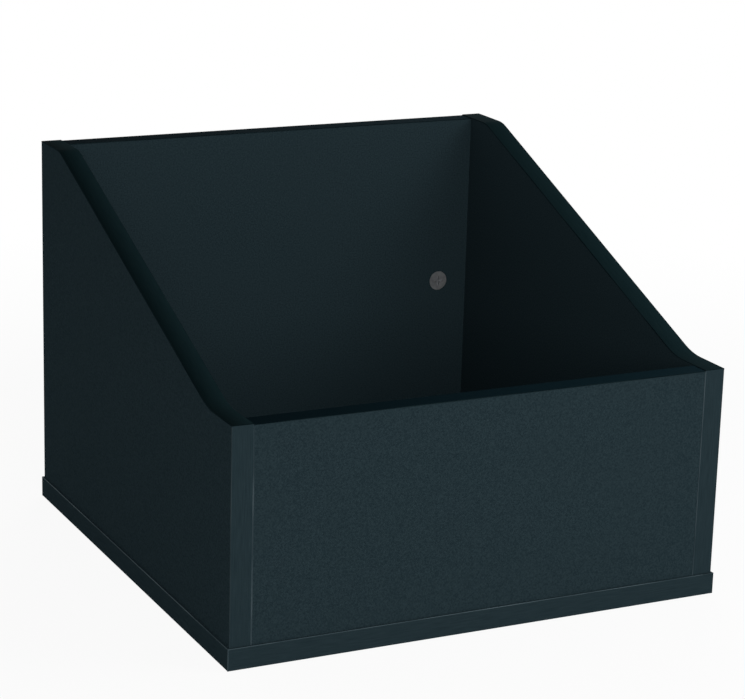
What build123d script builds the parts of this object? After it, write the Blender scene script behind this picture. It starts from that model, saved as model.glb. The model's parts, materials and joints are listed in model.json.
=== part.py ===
from build123d import *
from math import atan2, cos, hypot, pi, sin, tan
import os

# Open-topped storage box with scooped sides, joined from faced boards.
# Millimetres. X is to the right, Y to the back and Z up. The origin is the middle of the underside.

# Outside sizes of the four walls. The heights are from the floor to the top edges of the sides.
width = 360.0
depth = 360.0
front_height = 162.0
back_height = 272.0

# Boards
wall_thickness = 15.0
base_thickness = 15.0
base_overhang = 1.5
cross_panel_drop = 0.6
cross_panel_arris = 0.4

# Edge bands, glued to the cut edges of the boards
band_thickness = 0.8
band_arris = 0.4

# Scoop of the side panels: a level stretch at each end and a slope between them
front_flat = 39.0
back_flat = 39.0
front_curve_radius = 55.0
back_curve_radius = 31.0

# Fittings up the corner joints, evenly spaced: dowels and connectors by turns, a dowel lowest
front_joint_fittings = 2
back_joint_fittings = 3
fitting_inset = 35.0

# Fluted wooden dowels
dowel_diameter = 8.0
dowel_length = 30.0
dowel_flutes = 12
dowel_flute_depth = 0.4
dowel_depth_in_side = 10.0
dowel_end_room = 0.5
dowel_clearance = 0.1

# Connector bolts, screwed into the inner faces of the side panels
bolt_thread_diameter = 4.9
bolt_thread_length = 11.0
bolt_thread_clearance = 0.05
bolt_tip_room = 1.0
bolt_collar_diameter = 7.4
bolt_collar_length = 1.6
bolt_collar_clearance = 0.3
bolt_neck_diameter = 4.0
bolt_head_diameter = 6.6
bolt_head_length = 3.2

# Connector cams, let into the inner faces of the front and back panels
cam_distance = 24.0
cam_diameter = 14.8
cam_height = 11.8
cam_sink = 0.2
cam_clearance = 0.1
cam_floor_room = 0.3
cam_shell = 1.2
cam_grip_clearance = 0.15
cam_jaw_clearance = 0.35
cam_entry_clearance = 0.4
cam_cross_length = 7.0
cam_cross_width = 1.5
cam_cross_depth = 2.2

# Blunt countersunk screws, from beneath through the base into the walls
screw_length = 50.0
screw_head_diameter = 10.0
screw_head_height = 2.4
screw_head_sink = 0.3
screw_shank_diameter = 6.0
screw_cross_length = 6.0
screw_cross_width = 1.2
screw_cross_depth = 2.0
screw_base_clearance = 0.2
screw_wall_clearance = 0.05
screw_tip_room = 2.0
side_screw_inset = 60.0

# Places worked out from the sizes above
inside_half_width = width / 2 - wall_thickness
inside_half_depth = depth / 2 - wall_thickness
side_middle_x = width / 2 - wall_thickness / 2
cross_middle_y = depth / 2 - wall_thickness / 2
panel_tops = {"front": front_height - cross_panel_drop, "back": back_height - cross_panel_drop}
base_width = width + 2 * base_overhang
base_depth = depth + 2 * base_overhang

LEFT = -1
RIGHT = 1
FRONT = -1
BACK = 1
SIDES = {"left": LEFT, "right": RIGHT}
ENDS = {"front": FRONT, "back": BACK}
HALF_TURN = 180.0
UPWARDS = (Align.CENTER, Align.CENTER, Align.MIN)
DOWNWARDS = (Align.CENTER, Align.CENTER, Align.MAX)


def fitting_heights(end_name, count):
    lowest = base_thickness + fitting_inset
    highest = panel_tops[end_name] - fitting_inset
    step = (highest - lowest) / (count - 1)
    return [lowest + number * step for number in range(count)]


front_heights = fitting_heights("front", front_joint_fittings)
back_heights = fitting_heights("back", back_joint_fittings)
dowel_heights = {"front": front_heights[0::2], "back": back_heights[0::2]}
connector_heights = {"front": front_heights[1::2], "back": back_heights[1::2]}


# Planes of the joints

def joint_plane(side, end_name, height):
    """On the inner face of a side panel, with Z along the joint's axis into the cross panel."""
    end = ENDS[end_name]
    place = (side * inside_half_width, end * cross_middle_y, height)
    return Plane(origin=place, x_dir=(0, end, 0), z_dir=(-side, 0, 0))


def cam_plane(side, end_name, height):
    """On the inner face of a cross panel, with Z into the board and X towards the joint."""
    end = ENDS[end_name]
    place = (side * (inside_half_width - cam_distance), end * inside_half_depth, height)
    return Plane(origin=place, x_dir=(side, 0, 0), z_dir=(0, end, 0))


def side_screw_spots(side):
    reach = depth / 2 - side_screw_inset
    return [Location((side * side_middle_x, y, 0)) for y in (-reach, reach)]


def cross_screw_spot(end_name):
    return Location((0, ENDS[end_name] * cross_middle_y, 0))


# Fasteners, each along its own Z

def turned(points):
    """A solid turned about Z from its half outline, given as (radius, height) points."""
    outline = Plane.XZ * Polyline(*points, close=True)
    return revolve(make_face(outline), Axis.Z)


def cross_recess(length, across, deep):
    """The cutter for a cross drive, from Z = 0 up."""
    bar = Box(length, across, deep, align=UPWARDS)
    return bar + Rot(0, 0, 90) * bar


def dowel():
    """Its ends keep the same room in the two holes that meet at Z = 0."""
    crest = dowel_diameter / 2
    points = []
    for corner in range(2 * dowel_flutes):
        radius = crest - dowel_flute_depth * (corner % 2)
        angle = pi * corner / dowel_flutes
        points.append((radius * cos(angle), radius * sin(angle)))
    rod = extrude(make_face(Polyline(*points, close=True)), dowel_length)
    return Pos(0, 0, dowel_end_room - dowel_depth_in_side) * rod


def cam_bolt():
    """Thread below Z = 0, collar seated on the side panel's face, head centred in the cam."""
    thread = bolt_thread_diameter / 2
    collar = bolt_collar_diameter / 2
    neck = bolt_neck_diameter / 2
    head = bolt_head_diameter / 2
    return turned([
        (0, -bolt_thread_length),
        (thread, -bolt_thread_length),
        (thread, 0),
        (collar, 0),
        (collar, bolt_collar_length),
        (neck, bolt_collar_length),
        (neck, cam_distance - bolt_head_length / 2),
        (head, cam_distance + bolt_head_length / 2),
        (0, cam_distance + bolt_head_length / 2),
    ])


def cam():
    """Locked: the rims of its slot bear on the cone under the bolt's head.

    The slot runs half a turn round the cam, from the entry for the head to the locked end. The chamber
    behind it is eccentric, so the rims draw the head in, and it is open at the far face.
    """
    radius = cam_diameter / 2
    neck = bolt_neck_diameter / 2
    head = bolt_head_diameter / 2
    bolt_depth = wall_thickness / 2
    jaw = bolt_neck_diameter + 2 * cam_jaw_clearance
    entry = bolt_head_diameter + 2 * cam_entry_clearance
    cone_at_jaw = bolt_head_length * (0.5 - (jaw / 2 - neck) / (head - neck))
    near_wall = cone_at_jaw + cam_grip_clearance
    far_wall = radius - cam_shell
    chamber_radius = (near_wall + far_wall) / 2
    throw = (far_wall - near_wall) / 2
    chamber_roof = bolt_depth - head - cam_grip_clearance
    head_reach = hypot(head, bolt_head_length / 2) + cam_grip_clearance

    body = Pos(0, 0, cam_sink) * Cylinder(radius, cam_height, align=UPWARDS)
    chamber = Pos(-throw, 0, chamber_roof) * Cylinder(chamber_radius, cam_height, align=UPWARDS)
    head_room = Pos(0, 0, bolt_depth) * Cylinder(head_reach, jaw)
    jaw_slot = Plane.XZ * Pos(radius, bolt_depth) * Rectangle(2 * radius, jaw)
    jaw_slot = revolve(jaw_slot, Axis.Z, HALF_TURN)
    locked_end = Pos(0, 0, bolt_depth) * Box(radius, jaw, jaw, align=(Align.MIN, Align.CENTER, Align.CENTER))
    entry_slot = Pos(0, 0, bolt_depth - entry / 2)
    entry_slot *= Box(radius, entry, cam_height, align=(Align.MAX, Align.CENTER, Align.MIN))
    drive = Pos(0, 0, cam_sink) * cross_recess(cam_cross_length, cam_cross_width, cam_cross_depth)
    return body - chamber - head_room - jaw_slot - locked_end - entry_slot - drive


def screw():
    """Its head is just below the underside of the base."""
    head = screw_head_diameter / 2
    shank = screw_shank_diameter / 2
    end = screw_head_sink + screw_length
    blank = turned([
        (0, screw_head_sink),
        (head, screw_head_sink),
        (shank, screw_head_sink + screw_head_height),
        (shank, end),
        (0, end),
    ])
    drive = cross_recess(screw_cross_length, screw_cross_width, screw_cross_depth)
    return blank - Pos(0, 0, screw_head_sink) * drive


# Holes for the fasteners, along the same Z

def dowel_hole_in_side():
    return Cylinder(dowel_diameter / 2 + dowel_clearance, dowel_depth_in_side, align=DOWNWARDS)


def dowel_hole_in_panel():
    reach = dowel_length + 2 * dowel_end_room - dowel_depth_in_side
    return Cylinder(dowel_diameter / 2 + dowel_clearance, reach, align=UPWARDS)


def bolt_hole_in_side():
    radius = bolt_thread_diameter / 2 + bolt_thread_clearance
    return Cylinder(radius, bolt_thread_length + bolt_tip_room, align=DOWNWARDS)


def bolt_hole_in_panel():
    """Runs from the panel's end into the cam's pocket."""
    return Cylinder(bolt_collar_diameter / 2 + bolt_collar_clearance, cam_distance, align=UPWARDS)


def cam_pocket():
    return Cylinder(cam_diameter / 2 + cam_clearance, cam_sink + cam_height + cam_floor_room, align=UPWARDS)


def screw_hole_in_base():
    """Its countersink is the head's own cone, carried on to the underside."""
    head = screw_head_diameter / 2 + screw_base_clearance
    shank = screw_shank_diameter / 2 + screw_base_clearance
    widening = screw_head_sink * (head - shank) / screw_head_height
    return turned([
        (0, 0),
        (head + widening, 0),
        (shank, screw_head_sink + screw_head_height),
        (shank, base_thickness),
        (0, base_thickness),
    ])


def screw_hole_in_wall():
    reach = screw_head_sink + screw_length + screw_tip_room - base_thickness
    hole = Cylinder(screw_shank_diameter / 2 + screw_wall_clearance, reach, align=UPWARDS)
    return Pos(0, 0, base_thickness) * hole


# Boards

def block(low, high):
    """A box between its lowest and highest corners."""
    size = [top - bottom for bottom, top in zip(low, high)]
    return Pos(*low) * Box(*size, align=Align.MIN)


def scoop(inset):
    """The top line of a side panel, in depth and height, moved inwards by the inset."""
    slope = atan2(back_height - front_height, depth - front_flat - back_flat)
    shift = inset * tan(slope / 2)
    return FilletPolyline(
        (-depth / 2, front_height - inset),
        (front_flat - depth / 2 + shift, front_height - inset),
        (depth / 2 - back_flat + shift, back_height - inset),
        (depth / 2, back_height - inset),
        radius=[front_curve_radius + inset, back_curve_radius - inset],
    )


def across_side(side):
    """The two faces of a side panel, lowest X first."""
    return sorted([side * inside_half_width, side * width / 2])


def along_end(end_name):
    """The two faces of the front or back panel, lowest Y first."""
    return sorted([ENDS[end_name] * inside_half_depth, ENDS[end_name] * depth / 2])


def base_panel():
    half_width = base_width / 2 - band_thickness
    half_depth = base_depth / 2 - band_thickness
    board = block((-half_width, -half_depth, 0), (half_width, half_depth, base_thickness))
    spots = side_screw_spots(LEFT) + side_screw_spots(RIGHT)
    spots += [cross_screw_spot("front"), cross_screw_spot("back")]
    for spot in spots:
        board -= spot * screw_hole_in_base()
    return board


def side_panel(side):
    """The scooped board inside its bands, with the joints' holes in its inner face."""
    top = scoop(band_thickness)
    front_foot = (-depth / 2, base_thickness)
    back_foot = (depth / 2, base_thickness)
    outline = [top, Line(top @ 1, back_foot), Line(back_foot, front_foot), Line(front_foot, top @ 0)]
    board = extrude(Plane.YZ * make_face(outline), wall_thickness)
    board = Pos(across_side(side)[0], 0, 0) * board
    end = depth / 2 - band_thickness
    board &= block((-width, -end, 0), (width, end, back_height))
    for end_name in ENDS:
        for height in dowel_heights[end_name]:
            board -= joint_plane(side, end_name, height) * dowel_hole_in_side()
        for height in connector_heights[end_name]:
            board -= joint_plane(side, end_name, height) * bolt_hole_in_side()
    for spot in side_screw_spots(side):
        board -= spot * screw_hole_in_wall()
    return board


def ease_outer_ends(strip):
    """Eases the upright arrises of a cross panel or its band, which leaves a groove at each joint."""
    uprights = strip.edges().filter_by(Axis.Z)
    outer = [edge for edge in uprights if abs((edge @ 0.5).Y) > cross_middle_y]
    return chamfer(outer, cross_panel_arris)


def cross_panel(end_name):
    """The front or back board, between the sides, below its top band."""
    low_y, high_y = along_end(end_name)
    top = panel_tops[end_name] - band_thickness
    board = block((-inside_half_width, low_y, base_thickness), (inside_half_width, high_y, top))
    board = ease_outer_ends(board)
    for side in SIDES.values():
        for height in dowel_heights[end_name]:
            board -= joint_plane(side, end_name, height) * dowel_hole_in_panel()
        for height in connector_heights[end_name]:
            board -= joint_plane(side, end_name, height) * bolt_hole_in_panel()
            board -= cam_plane(side, end_name, height) * cam_pocket()
    return board - cross_screw_spot(end_name) * screw_hole_in_wall()


# Edge bands

def straight_band(low, high, outward, ease_ends=False):
    """A strip between two corners, with the arrises of its outward face eased."""
    strip = block(low, high)
    face = strip.faces().sort_by(Axis((0, 0, 0), outward))[-1]
    longest = max(edge.length for edge in face.edges())
    eased = [edge for edge in face.edges() if ease_ends or edge.length > longest / 2]
    return chamfer(eased, band_arris)


def side_end_band(side, end_name):
    """On the upright front or back edge of a side panel, under its top band."""
    end = ENDS[end_name]
    low_x, high_x = across_side(side)
    low_y, high_y = sorted([end * (depth / 2 - band_thickness), end * depth / 2])
    top = panel_tops[end_name] + cross_panel_drop - band_thickness
    return straight_band((low_x, low_y, base_thickness), (high_x, high_y, top), (0, end, 0))


def side_top_band(side):
    """Follows the scoop from the front to the back of a side panel."""
    outer = scoop(0)
    inner = scoop(band_thickness)
    profile = make_face([outer, Line(outer @ 1, inner @ 1), inner, Line(inner @ 0, outer @ 0)])
    strip = extrude(Plane.YZ * profile, wall_thickness)
    upper = Plane.YZ * outer
    near = band_arris / 10
    eased = []
    for edge in strip.edges():
        middle = edge @ 0.5
        on_top = upper.distance_to(Vector(0, middle.Y, middle.Z)) < near
        crosses = abs((edge % 0.5).X) > 0.5
        at_end = depth / 2 - abs(middle.Y) < near
        if on_top and (at_end or not crosses):
            eased.append(edge)
    return Pos(across_side(side)[0], 0, 0) * chamfer(eased, band_arris)


def cross_top_band(end_name):
    low_y, high_y = along_end(end_name)
    top = panel_tops[end_name]
    strip = block((-inside_half_width, low_y, top - band_thickness), (inside_half_width, high_y, top))
    strip = ease_outer_ends(strip)
    return chamfer(strip.faces().sort_by(Axis.Z)[-1].edges(), band_arris)


def base_long_band(end_name):
    """Across the full front or back of the base, over the ends of the short bands."""
    end = ENDS[end_name]
    low_y, high_y = sorted([end * (base_depth / 2 - band_thickness), end * base_depth / 2])
    low = (-base_width / 2, low_y, 0)
    return straight_band(low, (base_width / 2, high_y, base_thickness), (0, end, 0), ease_ends=True)


def base_short_band(side):
    low_x, high_x = sorted([side * (base_width / 2 - band_thickness), side * base_width / 2])
    reach = base_depth / 2 - band_thickness
    return straight_band((low_x, -reach, 0), (high_x, reach, base_thickness), (side, 0, 0))


# The whole box, piece by piece

def board_nodes():
    return {
        "base_panel": base_panel(),
        "left_side_panel": side_panel(LEFT),
        "right_side_panel": side_panel(RIGHT),
        "front_panel": cross_panel("front"),
        "back_panel": cross_panel("back"),
    }


def band_nodes():
    nodes = {}
    for side_name, side in SIDES.items():
        nodes[side_name + "_side_top_band"] = side_top_band(side)
        nodes["base_" + side_name + "_band"] = base_short_band(side)
        for end_name in ENDS:
            nodes[side_name + "_side_" + end_name + "_band"] = side_end_band(side, end_name)
    for end_name in ENDS:
        nodes[end_name + "_panel_top_band"] = cross_top_band(end_name)
        nodes["base_" + end_name + "_band"] = base_long_band(end_name)
    return nodes


def like_pieces(name, pieces):
    """One node for pieces that are the same, named in the plural if there are several."""
    if len(pieces) == 1:
        return {name: pieces[0]}
    return {name + "s": Compound(children=pieces)}


def fastener_nodes():
    nodes = {}
    for side_name, side in SIDES.items():
        nodes |= like_pieces(side_name + "_side_screw", [spot * screw() for spot in side_screw_spots(side)])
        for end_name in ENDS:
            planes = [joint_plane(side, end_name, height) for height in dowel_heights[end_name]]
            nodes |= like_pieces(end_name + "_" + side_name + "_dowel", [plane * dowel() for plane in planes])
    for end_name in ENDS:
        places = [(side, height) for side in SIDES.values() for height in connector_heights[end_name]]
        bolts = [joint_plane(side, end_name, height) * cam_bolt() for side, height in places]
        cams = [cam_plane(side, end_name, height) * cam() for side, height in places]
        nodes |= like_pieces(end_name + "_cam_bolt", bolts)
        nodes |= like_pieces(end_name + "_cam", cams)
    nodes |= like_pieces("cross_panel_screw", [cross_screw_spot(end_name) * screw() for end_name in ENDS])
    return nodes


os.makedirs("parts", exist_ok=True)
for name, shape in {**board_nodes(), **band_nodes(), **fastener_nodes()}.items():
    export_step(shape, "parts/" + name + ".step")
    print(name, round(shape.volume, 1))
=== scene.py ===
# Looks of an open-topped storage box with scooped sides: its edge bands, finishes, studio and camera.
# Metres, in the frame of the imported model. X is to the right, Y to the back and Z up.
import bpy
import json
import math
from mathutils import Matrix, Vector


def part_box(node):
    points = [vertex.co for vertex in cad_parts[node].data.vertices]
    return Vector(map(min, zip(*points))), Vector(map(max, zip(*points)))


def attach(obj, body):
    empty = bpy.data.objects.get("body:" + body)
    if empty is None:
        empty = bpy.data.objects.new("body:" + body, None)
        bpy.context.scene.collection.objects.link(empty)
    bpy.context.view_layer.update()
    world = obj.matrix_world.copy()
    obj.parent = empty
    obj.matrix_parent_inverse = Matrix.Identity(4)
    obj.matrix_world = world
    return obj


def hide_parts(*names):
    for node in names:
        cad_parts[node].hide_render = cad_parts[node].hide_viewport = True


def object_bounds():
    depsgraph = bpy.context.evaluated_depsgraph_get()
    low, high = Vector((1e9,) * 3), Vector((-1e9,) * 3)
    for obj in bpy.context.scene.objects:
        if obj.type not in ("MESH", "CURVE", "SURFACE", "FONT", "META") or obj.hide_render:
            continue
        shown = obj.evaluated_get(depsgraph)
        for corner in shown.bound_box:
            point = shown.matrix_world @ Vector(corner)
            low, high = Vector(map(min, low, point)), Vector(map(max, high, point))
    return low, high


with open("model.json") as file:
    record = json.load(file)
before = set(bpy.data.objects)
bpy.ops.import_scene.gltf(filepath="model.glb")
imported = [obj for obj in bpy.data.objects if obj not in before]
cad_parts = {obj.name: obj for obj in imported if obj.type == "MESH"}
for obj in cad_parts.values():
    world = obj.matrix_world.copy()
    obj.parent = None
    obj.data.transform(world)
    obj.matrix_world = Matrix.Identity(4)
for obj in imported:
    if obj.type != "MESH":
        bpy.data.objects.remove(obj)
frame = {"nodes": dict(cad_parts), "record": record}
cad_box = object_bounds()
nodes = frame["nodes"]

MM = 0.001
X_AXIS = Vector((1, 0, 0))
Y_AXIS = Vector((0, 1, 0))
Z_AXIS = Vector((0, 0, 1))

# Edge bands
band_width = 15 * MM
band_thickness = 0.8 * MM
arris_radius = 0.4 * MM
arris_steps = 3
sharp_angle = 1.0

# How far in from its edges an arris carries a painted highlight, and how high one at the floor reaches
highlight_depth = 0.9 * arris_radius
no_highlight_depth = 1.5 * arris_radius
floor_arris_height = 1.2 * arris_radius

# On a band, 0 is its inner side and 1 its outer one: where the look changes, and what counts as outer
outer_blend = (0.90, 0.98)
outer_limit = 0.99

# Scoop of the side panels
front_flat = 39 * MM
back_flat = 39 * MM
front_curve_radius = 55 * MM
back_curve_radius = 31 * MM
curve_steps = 28

# The photograph's frame, in pixels, and the lens that fits it
photo_width = 745
focal_length = 2515
sensor_width = 36

# Camera, round the middle of the box's underside: angles in degrees, places in metres
camera_azimuth = -26.271
camera_elevation = 15.853
camera_roll = 1.605
camera_distance = 1.820
camera_shift_right = 0.003248
camera_shift_up = 0.139443

# Colours, as linear red, green and blue: a darker and a lighter tone of each
board_tones = ((0.0116, 0.0215, 0.0265), (0.0198, 0.0340, 0.0400))
# The top tones are painted shade: the real bands have the boards' tone, as on their narrow sides
side_top_shade_tones = ((0.0036, 0.0100, 0.0118), (0.0060, 0.0140, 0.0160))
panel_top_shade_tones = ((0.0019, 0.0066, 0.0092), (0.0031, 0.0093, 0.0126))
# The pale arris tone is partly wear and partly a painted highlight
wear_and_highlight_arris_tones = ((0.025, 0.041, 0.049), (0.066, 0.092, 0.104))
plain_arris_tones = ((0.015, 0.026, 0.031), (0.030, 0.045, 0.051))
# Painted shade: the top arris tone is darker than its band
top_arris_shade_tones = ((0.0020, 0.0055, 0.0070), (0.0050, 0.0115, 0.0135))
beech_tones = ((0.38, 0.23, 0.11), (0.52, 0.34, 0.18))
steel_tones = ((0.46, 0.45, 0.42), (0.58, 0.57, 0.54))
zinc_tones = ((0.30, 0.31, 0.32), (0.42, 0.43, 0.44))
floor_color = (0.8, 0.8, 0.8, 1)

# Shares of its colour that a top band has at its left and at its right: painted light, paler towards the
# right
left_side_top_light_levels = (0.42, 1.25)
right_side_top_light_levels = (0.90, 1.30)
panel_top_light_levels = (0.65, 1.45)

# Roughness, from the smoothest spots to the dullest
board_roughness = (0.86, 0.96)
band_roughness = (0.84, 0.96)
top_arris_roughness = (0.74, 0.90)
end_arris_roughness = (0.40, 0.56)
beech_roughness = (0.65, 0.85)
steel_roughness = (0.24, 0.44)
zinc_roughness = (0.36, 0.56)
floor_roughness = 0.9

# Gloss of the plastics: so low because more of it mirrors the white surround in the dark faces
board_gloss = 0.004
end_band_gloss = 0.004
top_band_gloss = 0.002
end_arris_gloss = 0.02
top_arris_gloss = 0.002

# Sizes of the spots in each pattern, and how deep its relief is
speckle_size = 1.1 * MM
pebble_size = 0.7 * MM
pebble_depth = 0.03 * MM
mottle_size = 60 * MM
streak_width = 0.8 * MM
streak_depth = 0.02 * MM
streak_stretch = (0.05, 1, 1)
streak_blend = (0.2, 0.8)
band_grain_size = 0.6 * MM
arris_patch_size = 45 * MM
arris_grain_size = 1 * MM
fleck_size = 0.9 * MM
fleck_depth = 0.08 * MM
fleck_stretch = (0.1, 1, 1)
steel_grain_size = 0.5 * MM
zinc_grain_size = 0.8 * MM
metal_grain_depth = 0.02 * MM
metal_cloud_grains = 6


# Node trees

def add_node(tree, kind, **settings):
    node = tree.nodes.new(kind)
    for name, value in settings.items():
        setattr(node, name, value)
    return node


def fill(node, **inputs):
    """Sets or links the node's inputs by name, with _ for a space."""
    for name, value in inputs.items():
        socket = node.inputs[name.replace("_", " ")]
        if isinstance(value, bpy.types.NodeSocket):
            node.id_data.links.new(value, socket)
        else:
            socket.default_value = value
    return node


def new_material(name):
    material = bpy.data.materials.new(name)
    material.use_nodes = True
    tree = material.node_tree
    return material, tree, tree.nodes["Principled BSDF"]


def parts_of(tree, vector):
    node = fill(add_node(tree, "ShaderNodeSeparateXYZ"), Vector=vector)
    return node.outputs["X"], node.outputs["Y"], node.outputs["Z"]


def object_place(tree):
    return add_node(tree, "ShaderNodeTexCoord").outputs["Object"]


def stretched(tree, place, stretch):
    """The place for a pattern that is drawn out along each axis where its stretch is below 1."""
    return fill(add_node(tree, "ShaderNodeMapping"), Vector=place, Scale=stretch).outputs["Vector"]


def noise(tree, place, size, detail=2.0, roughness=0.5):
    """Soft noise whose spots are about the size, in metres."""
    texture = add_node(tree, "ShaderNodeTexNoise")
    fill(texture, Vector=place, Scale=1 / size, Detail=detail, Roughness=roughness)
    return texture.outputs["Fac"]


def blend_tones(tree, factor, tones, start=0.35, end=0.65):
    """The darker tone up to the factor's start, and the lighter one from its end."""
    ramp = fill(add_node(tree, "ShaderNodeValToRGB"), Fac=factor)
    for element, place, tone in zip(ramp.color_ramp.elements, (start, end), tones):
        element.position = place
        element.color = (*tone, 1)
    return ramp.outputs["Color"]


def spread(tree, factor, low, high, start=0.0, end=1.0):
    """The factor, from its start to its end, brought between two values."""
    node = add_node(tree, "ShaderNodeMapRange")
    fill(node, Value=factor, From_Min=start, From_Max=end, To_Min=low, To_Max=high)
    return node.outputs["Result"]


def calculate(tree, operation, first, second=None):
    """One Math node on sockets or numbers."""
    node = add_node(tree, "ShaderNodeMath", operation=operation)
    for place, value in enumerate((first, second)):
        if isinstance(value, bpy.types.NodeSocket):
            tree.links.new(value, node.inputs[place])
        elif value is not None:
            node.inputs[place].default_value = value
    return node.outputs["Value"]


def mix_colors(tree, factor, first, second):
    node = add_node(tree, "ShaderNodeMix", data_type="RGBA")
    return fill(node, Factor=factor, A=first, B=second).outputs["Result"]


def relief(tree, shader, height, depth, strength=1.0):
    bump = fill(add_node(tree, "ShaderNodeBump"), Height=height, Distance=depth, Strength=strength)
    fill(shader, Normal=bump.outputs["Normal"])


# Finishes. Where a finish builds on a plainer one, it links its own colour in place of that one's.

def board_facing(name):
    """Melamine facing: one dark tone with a faint speckle, over a fine pebbled surface."""
    material, tree, shader = new_material(name)
    place = object_place(tree)
    color = blend_tones(tree, noise(tree, place, speckle_size, detail=3.0, roughness=0.6), board_tones)
    mottle = noise(tree, place, mottle_size)
    relief(tree, shader, noise(tree, place, pebble_size), pebble_depth, strength=0.5)
    fill(shader, Base_Color=color, Roughness=spread(tree, mottle, *board_roughness))
    fill(shader, Specular_IOR_Level=board_gloss)
    return material, tree, shader, color


def faced_cross_panel():
    """The same facing, with a painted highlight on the eased upright arrises of its left end."""
    material, tree, shader, color = board_facing("Faced cross panel")
    place = object_place(tree)
    x, y = parts_of(tree, place)[:2]
    low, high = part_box("back_panel")
    at_end = spread(tree, x, 1.0, 0.0, low.x + highlight_depth, low.x + no_highlight_depth)
    from_middle = calculate(tree, "ABSOLUTE", y)
    at_face = spread(tree, from_middle, 0.0, 1.0, high.y - no_highlight_depth, high.y - highlight_depth)
    # Painted highlight on the left end's eased arrises
    highlight_mask = calculate(tree, "MULTIPLY", at_end, at_face)
    end_highlight = blend_tones(tree, noise(tree, place, arris_patch_size), wear_and_highlight_arris_tones)
    fill(shader, Base_Color=mix_colors(tree, highlight_mask, color, end_highlight))
    return material


def band_finish(name, tones, gloss):
    """Extruded plastic: the same tone with streaks along its run."""
    material, tree, shader = new_material(name)
    place = add_node(tree, "ShaderNodeAttribute", attribute_name="band_place").outputs["Vector"]
    streaks = noise(tree, stretched(tree, place, streak_stretch), streak_width, detail=3.0)
    grain = noise(tree, object_place(tree), band_grain_size)
    color = blend_tones(tree, streaks, tones, *streak_blend)
    relief(tree, shader, streaks, streak_depth, strength=0.4)
    fill(shader, Base_Color=color, Roughness=spread(tree, grain, *band_roughness), Specular_IOR_Level=gloss)
    return material, tree, shader, place, streaks, color


def top_band_finish(name, node, tones, light_levels):
    """Painted shade on the top face, paler from left to right by painted light; the narrow sides keep the
    boards' tone.
    """
    material, tree, shader, place, streaks, color = band_finish(name, tones, top_band_gloss)
    low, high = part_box(node)
    x = parts_of(tree, object_place(tree))[0]
    outer = parts_of(tree, place)[2]
    # Painted light: the top grows paler from the node's left to its right
    level = spread(tree, x, *light_levels, low.x, high.x)
    # Painted shade: the top face takes the darker top tones, the narrow sides the boards' own tone
    painted_shade_on_top = spread(tree, outer, 0.0, 1.0, *outer_blend)
    painted_light_scale = add_node(tree, "ShaderNodeVectorMath", operation="SCALE")
    painted_top_color = fill(painted_light_scale, Vector=color, Scale=level).outputs["Vector"]
    narrow_color = blend_tones(tree, streaks, board_tones, *streak_blend)
    fill(shader, Base_Color=mix_colors(tree, painted_shade_on_top, narrow_color, painted_top_color))
    return material


def eased_arris(name, roughness, gloss):
    """The trimmed and scraped edge of a band, with the patches for its two tones."""
    material, tree, shader = new_material(name)
    place = object_place(tree)
    grain = noise(tree, place, arris_grain_size)
    fill(shader, Roughness=spread(tree, grain, *roughness), Specular_IOR_Level=gloss)
    return material, tree, shader, place, noise(tree, place, arris_patch_size)


def eased_top_arris():
    """Darker than the band: painted shade on the eased arrises of the tops."""
    name = "Eased top arris"
    material, tree, shader, place, patches = eased_arris(name, top_arris_roughness, top_arris_gloss)
    fill(shader, Base_Color=blend_tones(tree, patches, top_arris_shade_tones))
    return material


def eased_end_arris():
    """Paler than the band at joints and ledges, partly wear and partly a painted highlight; plain at outer
    corners, the right end and the floor.
    """
    name = "Eased end arris"
    material, tree, shader, place, patches = eased_arris(name, end_arris_roughness, end_arris_gloss)
    x, y, z = parts_of(tree, place)
    low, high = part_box("right_side_panel")
    middle = (low.x + high.x) / 2
    outer = calculate(tree, "GREATER_THAN", calculate(tree, "ABSOLUTE", x), middle)
    upright = calculate(tree, "GREATER_THAN", z, low.z)
    plain = calculate(tree, "MULTIPLY", outer, upright)
    plain = calculate(tree, "MAXIMUM", plain, calculate(tree, "GREATER_THAN", x, middle))
    plain = calculate(tree, "MAXIMUM", plain, calculate(tree, "LESS_THAN", z, floor_arris_height))
    # Partly wear, partly a painted highlight where the arrises catch the light
    wear_and_highlight_color = blend_tones(tree, patches, wear_and_highlight_arris_tones)
    plain_color = blend_tones(tree, patches, plain_arris_tones)
    fill(shader, Base_Color=mix_colors(tree, plain, wear_and_highlight_color, plain_color))
    return material


def beech():
    """Turned beech with short flecks along the grain."""
    material, tree, shader = new_material("Beech")
    flecks = noise(tree, stretched(tree, object_place(tree), fleck_stretch), fleck_size, detail=4.0)
    relief(tree, shader, flecks, fleck_depth)
    fill(shader, Base_Color=blend_tones(tree, flecks, beech_tones))
    fill(shader, Roughness=spread(tree, flecks, *beech_roughness))
    return material


def metal(name, tones, grain_size, roughness):
    """Bare metal with a cloudy tone and a fine grain in its gloss."""
    material, tree, shader = new_material(name)
    place = object_place(tree)
    cloud = noise(tree, place, metal_cloud_grains * grain_size, detail=3.0)
    grain = noise(tree, place, grain_size, detail=3.0)
    relief(tree, shader, grain, metal_grain_depth, strength=0.6)
    fill(shader, Base_Color=blend_tones(tree, cloud, tones), Roughness=spread(tree, grain, *roughness))
    fill(shader, Metallic=1.0)
    return material


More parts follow.
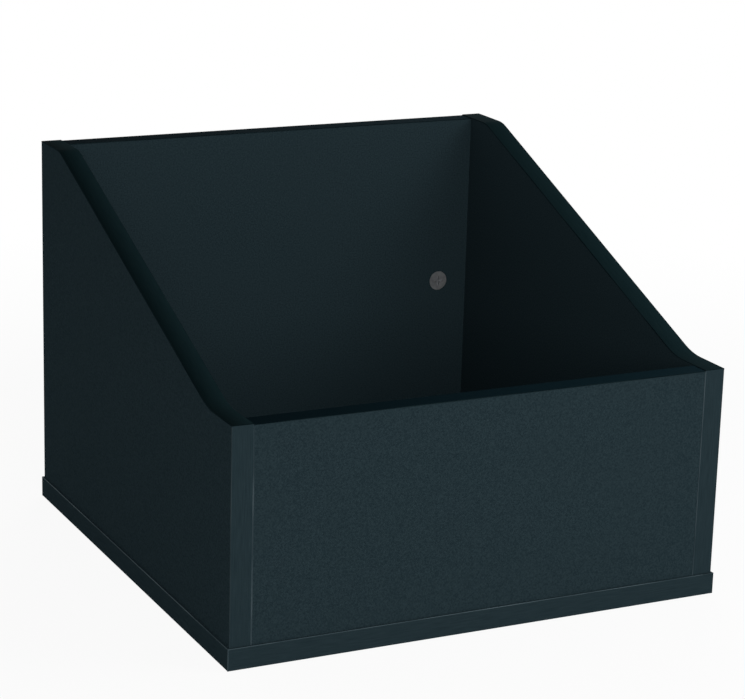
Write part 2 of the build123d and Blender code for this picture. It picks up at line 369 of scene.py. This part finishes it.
faced_board, *_ = board_facing("Faced board")
end_band, *_ = band_finish("End band", board_tones, end_band_gloss)
finishes = {
    "faced_board": faced_board,
    "end_band": end_band,
    "dowel_wood": beech(),
    "plated_steel": metal("Plated steel", steel_tones, steel_grain_size, steel_roughness),
    "die_cast_zinc": metal("Die-cast zinc", zinc_tones, zinc_grain_size, zinc_roughness),
}
cross_panel = faced_cross_panel()
panel_top = top_band_finish("Panel top band", "front_panel", panel_top_shade_tones, panel_top_light_levels)
own_finishes = {
    "front_panel": cross_panel,
    "back_panel": cross_panel,
    "front_panel_top_band": panel_top,
    "back_panel_top_band": panel_top,
}
for side_name, light_levels in (("left", left_side_top_light_levels), ("right", right_side_top_light_levels)):
    node = side_name + "_side_top_band"
    name = side_name.capitalize() + " side top band"
    own_finishes[node] = top_band_finish(name, node, side_top_shade_tones, light_levels)
arrises = {"top_band": eased_top_arris(), "end_band": eased_end_arris()}


def finish_of(node, slot):
    """The node's own finish, or else the one of its slot."""
    return own_finishes[node] if node in own_finishes else finishes[slot]


for subpart in frame["record"]["subparts"]:
    for material_slot in nodes[subpart["node"]].material_slots:
        material_slot.material = finish_of(subpart["node"], subpart["material_slot"])


# Edge bands, swept along the edges of the boards

def add_input(tree, name, kind, value=None):
    item = tree.interface.new_socket(name, in_out="INPUT", socket_type=kind)
    if value is not None:
        item.default_value = value


def store(tree, geometry, name, value, data_type="FLOAT", domain="POINT"):
    """The geometry with the value on it as a named attribute."""
    node = add_node(tree, "GeometryNodeStoreNamedAttribute", data_type=data_type, domain=domain)
    return fill(node, Geometry=geometry, Name=name, Value=value).outputs["Geometry"]


def recall(tree, name):
    node = add_node(tree, "GeometryNodeInputNamedAttribute", data_type="FLOAT")
    return fill(node, Name=name).outputs["Attribute"]


def combine(tree, operation, first, second):
    node = add_node(tree, "FunctionNodeBooleanMath", operation=operation)
    tree.links.new(first, node.inputs[0])
    tree.links.new(second, node.inputs[1])
    return node.outputs["Boolean"]


def rounded_path(tree, given):
    """The given path with its corners rounded, and its run on it as a share and as a length."""
    path = fill(add_node(tree, "GeometryNodeMeshToCurve"), Mesh=given["Geometry"])
    is_first = add_node(tree, "FunctionNodeCompare", data_type="INT", operation="EQUAL")
    whole_a, whole_b = is_first.inputs[2:4]
    tree.links.new(add_node(tree, "GeometryNodeInputIndex").outputs["Index"], whole_a)
    whole_b.default_value = 1
    radius = add_node(tree, "GeometryNodeSwitch", input_type="FLOAT")
    radii = {"True": given["First curve radius"], "False": given["Second curve radius"]}
    fill(radius, Switch=is_first.outputs["Result"], **radii)
    rounded = add_node(tree, "GeometryNodeFilletCurve", mode="POLY")
    fill(rounded, Curve=path.outputs["Curve"], Count=given["Curve steps"], Radius=radius.outputs["Output"])
    cut = fill(add_node(tree, "GeometryNodeSubdivideCurve"), Curve=rounded.outputs["Curve"])
    level = add_node(tree, "GeometryNodeSetCurveNormal", mode="FREE")
    fill(level, Curve=cut.outputs["Curve"], Normal=given["Across"])
    run = add_node(tree, "GeometryNodeSplineParameter").outputs
    kept = store(tree, level.outputs["Curve"], "run_factor", run["Factor"])
    return store(tree, kept, "run_length", run["Length"])


def band_section(tree, given):
    """The band's section, with its outer side on the path, and each corner's place across and in or out."""
    section = add_node(tree, "GeometryNodeCurvePrimitiveQuadrilateral", mode="RECTANGLE")
    fill(section, Width=given["Band width"], Height=given["Band thickness"])
    position = add_node(tree, "GeometryNodeInputPosition").outputs["Position"]
    across, height = parts_of(tree, position)[:2]
    kept = store(tree, section.outputs["Curve"], "outer", calculate(tree, "GREATER_THAN", height, 0.0))
    kept = store(tree, kept, "across", across)
    inwards = add_node(tree, "ShaderNodeCombineXYZ")
    fill(inwards, Y=calculate(tree, "MULTIPLY", given["Band thickness"], -0.5))
    lowered = add_node(tree, "GeometryNodeSetPosition")
    return fill(lowered, Geometry=kept, Offset=inwards.outputs["Vector"]).outputs["Geometry"]


def arrises_to_ease(tree, given):
    """The sharp edges of the outer face, with those of the band's ends only where they are asked for."""
    margin = 0.0001
    run_factor = recall(tree, "run_factor")
    angle = add_node(tree, "GeometryNodeInputMeshEdgeAngle").outputs["Unsigned Angle"]
    sharp = calculate(tree, "GREATER_THAN", angle, sharp_angle)
    on_outer = calculate(tree, "GREATER_THAN", recall(tree, "outer"), outer_limit)
    past_start = calculate(tree, "GREATER_THAN", run_factor, margin)
    before_end = calculate(tree, "LESS_THAN", run_factor, 1 - margin)
    between = combine(tree, "AND", past_start, before_end)
    wanted = combine(tree, "OR", between, given["Ease ends"])
    return combine(tree, "AND", combine(tree, "AND", sharp, on_outer), wanted)


def edge_band_tree():
    """Sweeps the band's section along a rounded path and marks the arrises to ease."""
    tree = bpy.data.node_groups.new("Edge band", "GeometryNodeTree")
    tree.interface.new_socket("Geometry", in_out="INPUT", socket_type="NodeSocketGeometry")
    add_input(tree, "Band width", "NodeSocketFloat", band_width)
    add_input(tree, "Band thickness", "NodeSocketFloat", band_thickness)
    add_input(tree, "First curve radius", "NodeSocketFloat", front_curve_radius)
    add_input(tree, "Second curve radius", "NodeSocketFloat", back_curve_radius)
    add_input(tree, "Curve steps", "NodeSocketInt", curve_steps)
    add_input(tree, "Across", "NodeSocketVector")
    add_input(tree, "Ease ends", "NodeSocketBool", False)
    add_input(tree, "Material", "NodeSocketMaterial")
    tree.interface.new_socket("Geometry", in_out="OUTPUT", socket_type="NodeSocketGeometry")
    given = add_node(tree, "NodeGroupInput").outputs

    sweep = add_node(tree, "GeometryNodeCurveToMesh")
    fill(sweep, Curve=rounded_path(tree, given), Profile_Curve=band_section(tree, given), Fill_Caps=True)
    place = add_node(tree, "ShaderNodeCombineXYZ")
    fill(place, X=recall(tree, "run_length"), Y=recall(tree, "across"), Z=recall(tree, "outer"))
    placed = store(tree, sweep.outputs["Mesh"], "band_place", place.outputs["Vector"], "FLOAT_VECTOR")
    marked = store(tree, placed, "bevel_weight_edge", arrises_to_ease(tree, given), domain="EDGE")
    real = fill(add_node(tree, "GeometryNodeRealizeInstances"), Geometry=marked)
    dressed = add_node(tree, "GeometryNodeSetMaterial")
    fill(dressed, Geometry=real.outputs["Geometry"], Material=given["Material"])
    fill(add_node(tree, "NodeGroupOutput"), Geometry=dressed.outputs["Geometry"])
    return tree


edge_band_nodes = edge_band_tree()


def plain_mesh(piece):
    """Turns the piece's modifiers into its own mesh, so that none is left on it."""
    evaluated = piece.evaluated_get(bpy.context.evaluated_depsgraph_get())
    mesh = bpy.data.meshes.new_from_object(evaluated)
    piece.modifiers.clear()
    piece.data = mesh


def edge_band(name, path, width, outward, node, slot, ease_ends=False):
    """A band on one edge: its outer face follows the path, and its arrises are eased."""
    line = bpy.data.meshes.new(name)
    steps = range(len(path) - 1)
    line.from_pydata([tuple(point) for point in path], [(step, step + 1) for step in steps], [])
    piece = bpy.data.objects.new(name, line)
    bpy.context.scene.collection.objects.link(piece)
    along = (path[1] - path[0]).normalized()
    values = {
        "Band width": width,
        "Across": outward.cross(along),
        "Ease ends": ease_ends,
        "Material": finish_of(node, slot),
    }
    sweep = piece.modifiers.new("Edge band", "NODES")
    sweep.node_group = edge_band_nodes
    for item in edge_band_nodes.interface.items_tree:
        if item.name in values:
            sweep[item.identifier] = values[item.name]
    plain_mesh(piece)
    piece.data.materials.append(arrises[slot])
    ease = piece.modifiers.new("Ease arrises", "BEVEL")
    ease.limit_method = "WEIGHT"
    ease.width = arris_radius
    ease.segments = arris_steps
    ease.material = 1
    ease.harden_normals = True
    plain_mesh(piece)
    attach(piece, "root")
    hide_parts(node)


def middle_of(node):
    low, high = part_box(node)
    return (low + high) / 2


def straight_edge_band(edge, slot, outward, along, ease_ends=False):
    """A band as long and wide as the edge's node, whose outer face is the node's."""
    node = edge + "_band"
    low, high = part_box(node)
    size = high - low
    middle = middle_of(node) + outward * abs(size.dot(outward)) / 2
    reach = along * size.dot(along) / 2
    width = abs(size.dot(outward.cross(along)))
    edge_band(edge + "_edging", [middle - reach, middle + reach], width, outward, node, slot, ease_ends)


def side_top_edge_band(side_name):
    """Over the scoop of a side panel."""
    edge = side_name + "_side_top"
    node = edge + "_band"
    low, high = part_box(node)
    middle_x = middle_of(node).x
    front_top = low.z + band_thickness
    path = [
        Vector((middle_x, low.y, front_top)),
        Vector((middle_x, low.y + front_flat, front_top)),
        Vector((middle_x, high.y - back_flat, high.z)),
        Vector((middle_x, high.y, high.z)),
    ]
    edge_band(edge + "_edging", path, high.x - low.x, Z_AXIS, node, "top_band", ease_ends=True)


for side_name, sideways in (("left", -X_AXIS), ("right", X_AXIS)):
    side_top_edge_band(side_name)
    straight_edge_band("base_" + side_name, "end_band", sideways, Y_AXIS)
    for end_name, endways in (("front", -Y_AXIS), ("back", Y_AXIS)):
        straight_edge_band(side_name + "_side_" + end_name, "end_band", endways, Z_AXIS)

for end_name, endways in (("front", -Y_AXIS), ("back", Y_AXIS)):
    straight_edge_band(end_name + "_panel_top", "top_band", Z_AXIS, X_AXIS, ease_ends=True)
    straight_edge_band("base_" + end_name, "end_band", endways, X_AXIS, ease_ends=True)


# Studio

def background_light(tree):
    """1 for the rays that show the background, seen straight, mirrored or through glass, and else 0."""
    path = add_node(tree, "ShaderNodeLightPath").outputs
    mirrored = calculate(tree, "MAXIMUM", path["Is Camera Ray"], path["Is Glossy Ray"])
    return calculate(tree, "MAXIMUM", mirrored, path["Is Transmission Ray"])


def white_world(ambient):
    """White where it is seen, and a plain dim light on everything else."""
    world = bpy.data.worlds.new("White backdrop")
    world.use_nodes = True
    tree = world.node_tree
    strength = spread(tree, background_light(tree), ambient, 1.0)
    fill(tree.nodes["Background"], Color=(1, 1, 1, 1), Strength=strength)
    bpy.context.scene.world = world


def pale_floor(reach, shadow_share, shadow_reach):
    """The white of the backdrop where it is seen, but for a faint shadow round the box."""
    mesh = bpy.data.meshes.new("floor")
    corners = [(-reach, -reach, 0), (reach, -reach, 0), (reach, reach, 0), (-reach, reach, 0)]
    mesh.from_pydata(corners, [], [(0, 1, 2, 3)])
    floor = bpy.data.objects.new("floor", mesh)
    bpy.context.scene.collection.objects.link(floor)
    material, tree, shader = new_material("Pale floor")
    fill(shader, Base_Color=floor_color, Roughness=floor_roughness, Specular_IOR_Level=0.0)
    away = add_node(tree, "ShaderNodeVectorMath", operation="LENGTH")
    tree.links.new(object_place(tree), away.inputs[0])
    shadow = (1 - shadow_share, 1.0, shadow_reach / 2, shadow_reach)
    whiteness = spread(tree, away.outputs["Value"], *shadow)
    white = add_node(tree, "ShaderNodeEmission")
    mix = add_node(tree, "ShaderNodeMixShader")
    fill(mix, Fac=calculate(tree, "MULTIPLY", background_light(tree), whiteness))
    tree.links.new(shader.outputs["BSDF"], mix.inputs[1])
    tree.links.new(white.outputs["Emission"], mix.inputs[2])
    fill(tree.nodes["Material Output"], Surface=mix.outputs["Shader"])
    mesh.materials.append(material)


def direction(azimuth, elevation):
    """From the box outwards. Azimuth 0 is the front, and it grows towards the right."""
    turn = math.radians(azimuth)
    rise = math.radians(elevation)
    return Vector((math.sin(turn) * math.cos(rise), -math.cos(turn) * math.cos(rise), math.sin(rise)))


def soft_box(name, azimuth, elevation, distance, size, brightness):
    """A square lamp. At brightness 1 a surface that faces it looks as bright as its own colour."""
    lamp = bpy.data.lights.new(name, "AREA")
    lamp.size = size
    lamp.energy = brightness * (math.pi * distance) ** 2
    target = Vector((0, 0, cad_box[1][2] / 2))
    away = direction(azimuth, elevation)
    holder = bpy.data.objects.new(name, lamp)
    holder.location = target + away * distance
    holder.rotation_euler = away.to_track_quat("Z", "Y").to_euler()
    bpy.context.scene.collection.objects.link(holder)


def photo_camera():
    """Where the photograph was taken from, rolled as it was."""
    back = direction(camera_azimuth, camera_elevation)
    level_right = Z_AXIS.cross(back).normalized()
    level_up = back.cross(level_right)
    roll = math.radians(camera_roll)
    right = level_right * math.cos(roll) + level_up * math.sin(roll)
    up = level_up * math.cos(roll) - level_right * math.sin(roll)
    place = level_right * camera_shift_right + level_up * camera_shift_up + back * camera_distance
    lens = bpy.data.cameras.new("photo camera")
    lens.sensor_width = sensor_width
    lens.lens = focal_length / photo_width * sensor_width
    camera = bpy.data.objects.new("photo camera", lens)
    camera.matrix_world = Matrix((
        (right.x, up.x, back.x, place.x),
        (right.y, up.y, back.y, place.y),
        (right.z, up.z, back.z, place.z),
        (0, 0, 0, 1),
    ))
    bpy.context.scene.collection.objects.link(camera)
    bpy.context.scene.camera = camera


white_world(ambient=0.35)
pale_floor(reach=6.0, shadow_share=0.08, shadow_reach=1.0)
soft_box("key light", azimuth=-16, elevation=20, distance=2.4, size=1.2, brightness=0.51)
soft_box("near light", azimuth=48, elevation=35, distance=0.9, size=0.5, brightness=0.34)
soft_box("back light", azimuth=150, elevation=12, distance=2.4, size=1.2, brightness=0.45)
photo_camera()
bpy.context.scene.view_settings.view_transform = "Standard"
